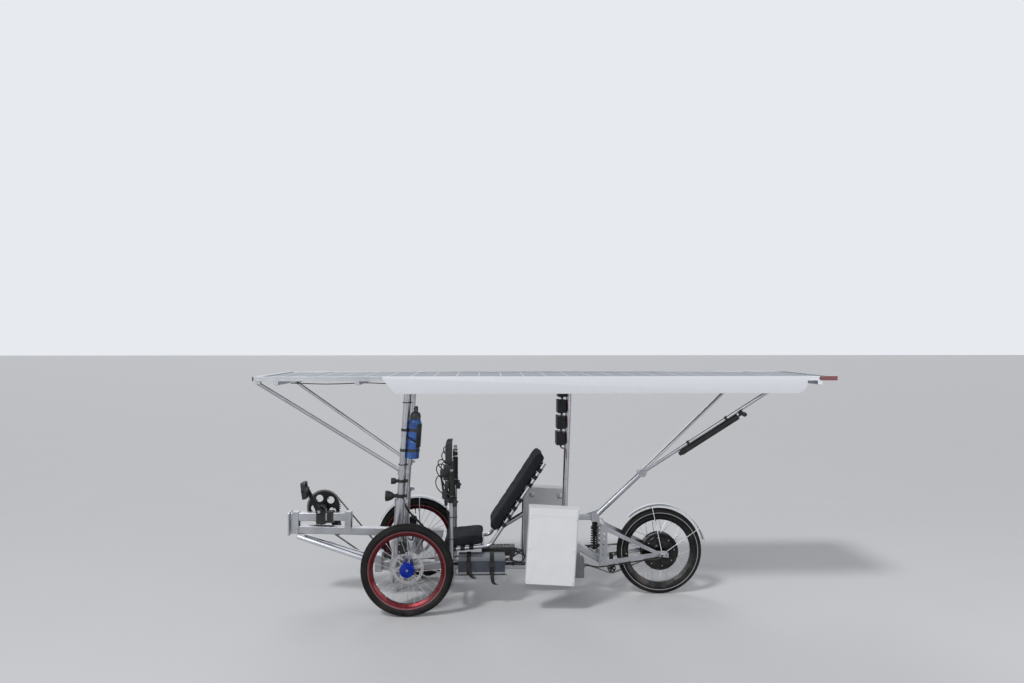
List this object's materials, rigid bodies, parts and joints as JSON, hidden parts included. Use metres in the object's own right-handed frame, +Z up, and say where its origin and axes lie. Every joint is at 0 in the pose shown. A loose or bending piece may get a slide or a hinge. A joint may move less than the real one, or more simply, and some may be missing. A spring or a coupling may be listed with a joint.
{
  "type": "solar roof recumbent tricycle",
  "caption": "Open recumbent tricycle with under-seat steering, a rear hub motor and a long flat solar roof carried on masts and struts.",
  "frame": {"origin": "on the ground below the middle of the roof", "axes": "+X to the rear, +Y to the rider's right, +Z up"},
  "size_m": [3.19, 0.75, 1.304],
  "materials": {
    "aluminium_frame": "brushed natural aluminium tube",
    "mast_tube": "satin aluminium tube",
    "roof_rail": "silver anodised profile",
    "solar_cells": "dark blue solar cells under a clear sheet",
    "band_white": "pale plain panel",
    "marker_red": "red reflector",
    "black_metal": "black anodised or painted metal",
    "black_plastic": "black moulded plastic",
    "seat_fabric": "dark woven pad cover",
    "battery_case": "blue-grey battery case",
    "box_white": "white plain box",
    "chain_steel": "oiled chain steel",
    "steel": "plain steel",
    "lamp_glass": "lamp body with a pale lens",
    "bottle_blue": "blue bottle with a black cap",
    "tyre_rubber": "black tyre rubber",
    "rim_red": "dark red anodised rim",
    "rim_black": "black anodised rim",
    "hub_blue": "blue anodised hub with steel spokes and disc",
    "motor_black": "black hub motor with steel spokes",
    "guard_silver": "silver mudguard strip",
    "grip_rubber": "black grip rubber",
    "cable_black": "black cable sheath"
  },
  "bodies": {
    "chassis": {"keel_frame": "aluminium_frame", "front_crossbeam": "aluminium_frame", "boom": "aluminium_frame", "crank_rail": "aluminium_frame", "boom_braces": "mast_tube", "front_masts": "mast_tube", "front_struts": "mast_tube", "rear_mast": "mast_tube", "rear_frame": "aluminium_frame", "rear_struts": "mast_tube", "roof_rails": "roof_rail", "roof_beams": "roof_rail", "solar_modules": "solar_cells", "side_bands": "band_white", "roof_markers": "marker_red", "charge_controllers": "black_metal", "seat_frame": "aluminium_frame", "seat_pad": "seat_fabric", "battery_pack": "battery_case", "power_box": "black_plastic", "box_carriers": "aluminium_frame", "side_boxes": "box_white", "swingarm": "aluminium_frame", "rear_shock": "black_metal", "chain": "chain_steel", "chain_idlers": "black_plastic", "rear_mudguard": "guard_silver", "lamps": "lamp_glass", "bottle": "bottle_blue", "floor_pump": "black_plastic", "mast_cables": "cable_black"},
    "steering_bar": {"handlebar": "aluminium_frame", "grips": "grip_rubber", "brake_levers": "black_plastic", "mirror": "black_plastic"},
    "left_rod": {"left_drag_rod": "steel"},
    "left_steering": {"left_knuckle": "aluminium_frame", "left_caliper": "black_metal"},
    "left_wheel": {"left_front_tyre": "tyre_rubber", "left_front_rim": "rim_red", "left_front_hub": "hub_blue"},
    "right_rod": {"right_drag_rod": "steel"},
    "right_steering": {"right_knuckle": "aluminium_frame", "right_caliper": "black_metal", "right_mudguard": "guard_silver"},
    "right_wheel": {"right_front_tyre": "tyre_rubber", "right_front_rim": "rim_red", "right_front_hub": "hub_blue"},
    "rear_wheel": {"rear_tyre": "tyre_rubber", "rear_rim": "rim_black", "hub_motor": "motor_black", "cassette": "steel"},
    "crank": {"crankset": "black_metal"},
    "left_pedal_body": {"left_pedal": "black_plastic"},
    "right_pedal_body": {"right_pedal": "black_plastic"}
  },
  "joints": [
    {"name": "steer", "type": "hinge", "parent": "chassis", "child": "steering_bar", "pos_m": [-0.53, 0, 0.13], "axis": [0, 0, 1], "range_deg": [-28, 28]},
    {"name": "left_rod_swing", "type": "hinge", "parent": "steering_bar", "child": "left_rod", "pos_m": [-0.595, -0.028, 0.12], "axis": [0, 0, 1], "range_deg": [-28, 28]},
    {"name": "left_kingpin", "type": "hinge", "parent": "chassis", "child": "left_steering", "pos_m": [-0.767, -0.262, 0.253], "axis": [0, 0, 1], "range_deg": [-28, 28]},
    {"name": "left_wheel_spin", "type": "hinge", "parent": "left_steering", "child": "left_wheel", "pos_m": [-0.767, -0.35, 0.253], "axis": [0, 1, 0], "continuous": true},
    {"name": "right_rod_swing", "type": "hinge", "parent": "steering_bar", "child": "right_rod", "pos_m": [-0.595, 0.028, 0.12], "axis": [0, 0, 1], "range_deg": [-28, 28]},
    {"name": "right_kingpin", "type": "hinge", "parent": "chassis", "child": "right_steering", "pos_m": [-0.767, 0.262, 0.253], "axis": [0, 0, 1], "range_deg": [-28, 28]},
    {"name": "right_wheel_spin", "type": "hinge", "parent": "right_steering", "child": "right_wheel", "pos_m": [-0.767, 0.35, 0.253], "axis": [0, 1, 0], "continuous": true},
    {"name": "rear_wheel_spin", "type": "hinge", "parent": "chassis", "child": "rear_wheel", "pos_m": [0.688, 0, 0.253], "axis": [0, 1, 0], "continuous": true},
    {"name": "crank_spin", "type": "hinge", "parent": "chassis", "child": "crank", "pos_m": [-1.3, 0, 0.513], "axis": [0, 1, 0], "continuous": true},
    {"name": "left_pedal_spin", "type": "hinge", "parent": "crank", "child": "left_pedal_body", "pos_m": [-1.36901, -0.136, 0.64843], "axis": [0, 1, 0], "continuous": true},
    {"name": "right_pedal_spin", "type": "hinge", "parent": "crank", "child": "right_pedal_body", "pos_m": [-1.23099, 0.136, 0.37757], "axis": [0, 1, 0], "continuous": true}
  ],
  "couplings": [
    {"joint": "left_rod_swing", "follows": "steer", "ratio": -1},
    {"joint": "left_kingpin", "follows": "steer", "ratio": 1},
    {"joint": "right_rod_swing", "follows": "steer", "ratio": -1},
    {"joint": "right_kingpin", "follows": "steer", "ratio": 1}
  ]
}
